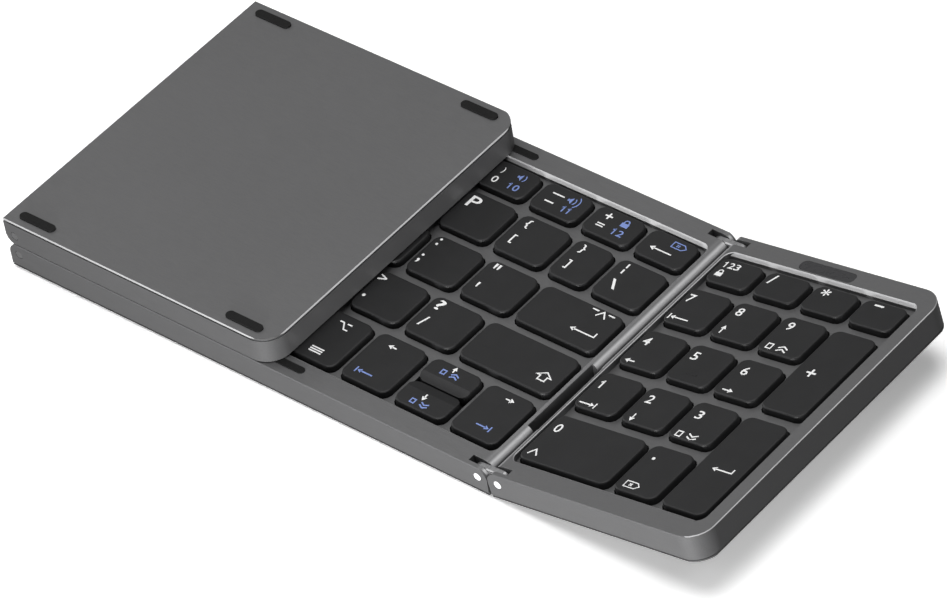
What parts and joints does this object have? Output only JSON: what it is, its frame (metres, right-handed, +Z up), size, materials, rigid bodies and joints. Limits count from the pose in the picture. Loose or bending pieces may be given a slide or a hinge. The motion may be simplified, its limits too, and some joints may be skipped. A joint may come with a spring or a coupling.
{
  "type": "folding keyboard",
  "caption": "Slim folding keyboard with a number pad: one panel folded face down on the middle panel, the other raised on two-pin link hinges.",
  "frame": {"origin": "on the plane of the feet, under the middle of the whole outline in the stored pose", "axes": "+X from the left panel to the number pad, along the rows of keys; +Y from the typist to the back row; +Z up, out of the key side of the middle panel"},
  "size_m": [0.2426, 0.1064, 0.0215],
  "materials": {
    "frame": "satin grey, finely brushed",
    "cover": "satin grey, finely brushed",
    "key_plate": "plain sheet",
    "foot_rubber": "matt",
    "bumper_rubber": "matt",
    "link_metal": "satin",
    "pin_metal": "bright",
    "flex": "thin film",
    "battery": "foil pouch",
    "board": "solder mask",
    "window": "smoked, glossy",
    "keycap": "satin"
  },
  "bodies": {
    "middle_panel": {"middle_bottom_cover": "cover", "middle_top_frame": "frame", "middle_key_plate": "key_plate", "battery": "battery", "middle_feet": "foot_rubber", "fold_bumpers": "bumper_rubber", "left_flex_cable": "flex", "right_flex_cable": "flex"},
    "left_link": {"left_hinge_links": "link_metal", "left_hinge_pins": "pin_metal"},
    "left_panel": {"left_bottom_cover": "cover", "left_top_frame": "frame", "left_key_plate": "key_plate", "left_feet": "foot_rubber"},
    "right_link": {"right_hinge_links": "link_metal", "right_hinge_pins": "pin_metal"},
    "right_panel": {"right_bottom_cover": "cover", "right_top_frame": "frame", "right_key_plate": "key_plate", "right_feet": "foot_rubber", "indicator_window": "window", "controller_board": "board"},
    "middle_covered_keys": {"middle_covered_keys": "keycap"},
    "left_wing_keys": {"left_wing_keys": "keycap"},
    "key_0": {"key_0": "keycap"},
    "key_minus": {"key_minus": "keycap"},
    "key_equals": {"key_equals": "keycap"},
    "key_backspace": {"key_backspace": "keycap"},
    "key_p": {"key_p": "keycap"},
    "key_open_bracket": {"key_open_bracket": "keycap"},
    "key_close_bracket": {"key_close_bracket": "keycap"},
    "key_backslash": {"key_backslash": "keycap"},
    "key_semicolon": {"key_semicolon": "keycap"},
    "key_quote": {"key_quote": "keycap"},
    "key_return": {"key_return": "keycap"},
    "key_period": {"key_period": "keycap"},
    "key_slash": {"key_slash": "keycap"},
    "key_shift": {"key_shift": "keycap"},
    "key_option": {"key_option": "keycap"},
    "key_left": {"key_left": "keycap"},
    "key_up": {"key_up": "keycap"},
    "key_down": {"key_down": "keycap"},
    "key_right": {"key_right": "keycap"},
    "pad_lock": {"pad_lock": "keycap"},
    "pad_divide": {"pad_divide": "keycap"},
    "pad_multiply": {"pad_multiply": "keycap"},
    "pad_minus": {"pad_minus": "keycap"},
    "pad_7": {"pad_7": "keycap"},
    "pad_8": {"pad_8": "keycap"},
    "pad_9": {"pad_9": "keycap"},
    "pad_plus": {"pad_plus": "keycap"},
    "pad_4": {"pad_4": "keycap"},
    "pad_5": {"pad_5": "keycap"},
    "pad_6": {"pad_6": "keycap"},
    "pad_1": {"pad_1": "keycap"},
    "pad_2": {"pad_2": "keycap"},
    "pad_3": {"pad_3": "keycap"},
    "pad_enter": {"pad_enter": "keycap"},
    "pad_0": {"pad_0": "keycap"},
    "pad_point": {"pad_point": "keycap"}
  },
  "joints": [
    {"name": "left_link_fold", "type": "hinge", "parent": "middle_panel", "child": "left_link", "pos_m": [-0.11803, 0, 0.0056], "axis": [0, -1, 0], "range_deg": [0, 90], "deforming": ["left_flex_cable"]},
    {"name": "left_panel_fold", "type": "hinge", "parent": "left_link", "child": "left_panel", "pos_m": [-0.11803, 0, 0.0125], "axis": [0, -1, 0], "range_deg": [0, 90]},
    {"name": "right_link_fold", "type": "hinge", "parent": "middle_panel", "child": "right_link", "pos_m": [0.04537, 0, 0.0056], "axis": [0, -1, 0], "range_deg": [-5, 85], "deforming": ["right_flex_cable"]},
    {"name": "right_panel_fold", "type": "hinge", "parent": "right_link", "child": "right_panel", "pos_m": [0.05225, 0, 0.0062], "axis": [0, -1, 0], "range_deg": [-5, 85]},
    {"name": "key_0_travel", "type": "slide", "parent": "middle_panel", "child": "key_0", "axis": [0, 0, -1], "range_m": [0, 0.0012], "stiffness_N_per_m": 400, "springref_m": -0.0006},
    {"name": "key_minus_travel", "type": "slide", "parent": "middle_panel", "child": "key_minus", "axis": [0, 0, -1], "range_m": [0, 0.0012], "stiffness_N_per_m": 400, "springref_m": -0.0006},
    {"name": "key_equals_travel", "type": "slide", "parent": "middle_panel", "child": "key_equals", "axis": [0, 0, -1], "range_m": [0, 0.0012], "stiffness_N_per_m": 400, "springref_m": -0.0006},
    {"name": "key_backspace_travel", "type": "slide", "parent": "middle_panel", "child": "key_backspace", "axis": [0, 0, -1], "range_m": [0, 0.0012], "stiffness_N_per_m": 400, "springref_m": -0.0006},
    {"name": "key_p_travel", "type": "slide", "parent": "middle_panel", "child": "key_p", "axis": [0, 0, -1], "range_m": [0, 0.0012], "stiffness_N_per_m": 400, "springref_m": -0.0006},
    {"name": "key_open_bracket_travel", "type": "slide", "parent": "middle_panel", "child": "key_open_bracket", "axis": [0, 0, -1], "range_m": [0, 0.0012], "stiffness_N_per_m": 400, "springref_m": -0.0006},
    {"name": "key_close_bracket_travel", "type": "slide", "parent": "middle_panel", "child": "key_close_bracket", "axis": [0, 0, -1], "range_m": [0, 0.0012], "stiffness_N_per_m": 400, "springref_m": -0.0006},
    {"name": "key_backslash_travel", "type": "slide", "parent": "middle_panel", "child": "key_backslash", "axis": [0, 0, -1], "range_m": [0, 0.0012], "stiffness_N_per_m": 400, "springref_m": -0.0006},
    {"name": "key_semicolon_travel", "type": "slide", "parent": "middle_panel", "child": "key_semicolon", "axis": [0, 0, -1], "range_m": [0, 0.0012], "stiffness_N_per_m": 400, "springref_m": -0.0006},
    {"name": "key_quote_travel", "type": "slide", "parent": "middle_panel", "child": "key_quote", "axis": [0, 0, -1], "range_m": [0, 0.0012], "stiffness_N_per_m": 400, "springref_m": -0.0006},
    {"name": "key_return_travel", "type": "slide", "parent": "middle_panel", "child": "key_return", "axis": [0, 0, -1], "range_m": [0, 0.0012], "stiffness_N_per_m": 400, "springref_m": -0.0006},
    {"name": "key_period_travel", "type": "slide", "parent": "middle_panel", "child": "key_period", "axis": [0, 0, -1], "range_m": [0, 0.0012], "stiffness_N_per_m": 400, "springref_m": -0.0006},
    {"name": "key_slash_travel", "type": "slide", "parent": "middle_panel", "child": "key_slash", "axis": [0, 0, -1], "range_m": [0, 0.0012], "stiffness_N_per_m": 400, "springref_m": -0.0006},
    {"name": "key_shift_travel", "type": "slide", "parent": "middle_panel", "child": "key_shift", "axis": [0, 0, -1], "range_m": [0, 0.0012], "stiffness_N_per_m": 400, "springref_m": -0.0006},
    {"name": "key_option_travel", "type": "slide", "parent": "middle_panel", "child": "key_option", "axis": [0, 0, -1], "range_m": [0, 0.0012], "stiffness_N_per_m": 400, "springref_m": -0.0006},
    {"name": "key_left_travel", "type": "slide", "parent": "middle_panel", "child": "key_left", "axis": [0, 0, -1], "range_m": [0, 0.0012], "stiffness_N_per_m": 400, "springref_m": -0.0006},
    {"name": "key_up_travel", "type": "slide", "parent": "middle_panel", "child": "key_up", "axis": [0, 0, -1], "range_m": [0, 0.0012], "stiffness_N_per_m": 400, "springref_m": -0.0006},
    {"name": "key_down_travel", "type": "slide", "parent": "middle_panel", "child": "key_down", "axis": [0, 0, -1], "range_m": [0, 0.0012], "stiffness_N_per_m": 400, "springref_m": -0.0006},
    {"name": "key_right_travel", "type": "slide", "parent": "middle_panel", "child": "key_right", "axis": [0, 0, -1], "range_m": [0, 0.0012], "stiffness_N_per_m": 400, "springref_m": -0.0006},
    {"name": "pad_lock_travel", "type": "slide", "parent": "right_panel", "child": "pad_lock", "axis": [0.1736, 0, -0.9848], "range_m": [0, 0.0012], "stiffness_N_per_m": 400, "springref_m": -0.0006},
    {"name": "pad_divide_travel", "type": "slide", "parent": "right_panel", "child": "pad_divide", "axis": [0.1736, 0, -0.9848], "range_m": [0, 0.0012], "stiffness_N_per_m": 400, "springref_m": -0.0006},
    {"name": "pad_multiply_travel", "type": "slide", "parent": "right_panel", "child": "pad_multiply", "axis": [0.1736, 0, -0.9848], "range_m": [0, 0.0012], "stiffness_N_per_m": 400, "springref_m": -0.0006},
    {"name": "pad_minus_travel", "type": "slide", "parent": "right_panel", "child": "pad_minus", "axis": [0.1736, 0, -0.9848], "range_m": [0, 0.0012], "stiffness_N_per_m": 400, "springref_m": -0.0006},
    {"name": "pad_7_travel", "type": "slide", "parent": "right_panel", "child": "pad_7", "axis": [0.1736, 0, -0.9848], "range_m": [0, 0.0012], "stiffness_N_per_m": 400, "springref_m": -0.0006},
    {"name": "pad_8_travel", "type": "slide", "parent": "right_panel", "child": "pad_8", "axis": [0.1736, 0, -0.9848], "range_m": [0, 0.0012], "stiffness_N_per_m": 400, "springref_m": -0.0006},
    {"name": "pad_9_travel", "type": "slide", "parent": "right_panel", "child": "pad_9", "axis": [0.1736, 0, -0.9848], "range_m": [0, 0.0012], "stiffness_N_per_m": 400, "springref_m": -0.0006},
    {"name": "pad_plus_travel", "type": "slide", "parent": "right_panel", "child": "pad_plus", "axis": [0.1736, 0, -0.9848], "range_m": [0, 0.0012], "stiffness_N_per_m": 400, "springref_m": -0.0006},
    {"name": "pad_4_travel", "type": "slide", "parent": "right_panel", "child": "pad_4", "axis": [0.1736, 0, -0.9848], "range_m": [0, 0.0012], "stiffness_N_per_m": 400, "springref_m": -0.0006},
    {"name": "pad_5_travel", "type": "slide", "parent": "right_panel", "child": "pad_5", "axis": [0.1736, 0, -0.9848], "range_m": [0, 0.0012], "stiffness_N_per_m": 400, "springref_m": -0.0006},
    {"name": "pad_6_travel", "type": "slide", "parent": "right_panel", "child": "pad_6", "axis": [0.1736, 0, -0.9848], "range_m": [0, 0.0012], "stiffness_N_per_m": 400, "springref_m": -0.0006},
    {"name": "pad_1_travel", "type": "slide", "parent": "right_panel", "child": "pad_1", "axis": [0.1736, 0, -0.9848], "range_m": [0, 0.0012], "stiffness_N_per_m": 400, "springref_m": -0.0006},
    {"name": "pad_2_travel", "type": "slide", "parent": "right_panel", "child": "pad_2", "axis": [0.1736, 0, -0.9848], "range_m": [0, 0.0012], "stiffness_N_per_m": 400, "springref_m": -0.0006},
    {"name": "pad_3_travel", "type": "slide", "parent": "right_panel", "child": "pad_3", "axis": [0.1736, 0, -0.9848], "range_m": [0, 0.0012], "stiffness_N_per_m": 400, "springref_m": -0.0006},
    {"name": "pad_enter_travel", "type": "slide", "parent": "right_panel", "child": "pad_enter", "axis": [0.1736, 0, -0.9848], "range_m": [0, 0.0012], "stiffness_N_per_m": 400, "springref_m": -0.0006},
    {"name": "pad_0_travel", "type": "slide", "parent": "right_panel", "child": "pad_0", "axis": [0.1736, 0, -0.9848], "range_m": [0, 0.0012], "stiffness_N_per_m": 400, "springref_m": -0.0006},
    {"name": "pad_point_travel", "type": "slide", "parent": "right_panel", "child": "pad_point", "axis": [0.1736, 0, -0.9848], "range_m": [0, 0.0012], "stiffness_N_per_m": 400, "springref_m": -0.0006},
    {"name": "middle_covered_keys_travel", "type": "slide", "parent": "middle_panel", "child": "middle_covered_keys", "axis": [0, 0, -1], "range_m": [0, 0.0012], "stiffness_N_per_m": 4000, "springref_m": -0.0006},
    {"name": "left_wing_keys_travel", "type": "slide", "parent": "left_panel", "child": "left_wing_keys", "axis": [0, 0, 1], "range_m": [0, 0.0012], "stiffness_N_per_m": 4000, "springref_m": -0.0006}
  ]
}
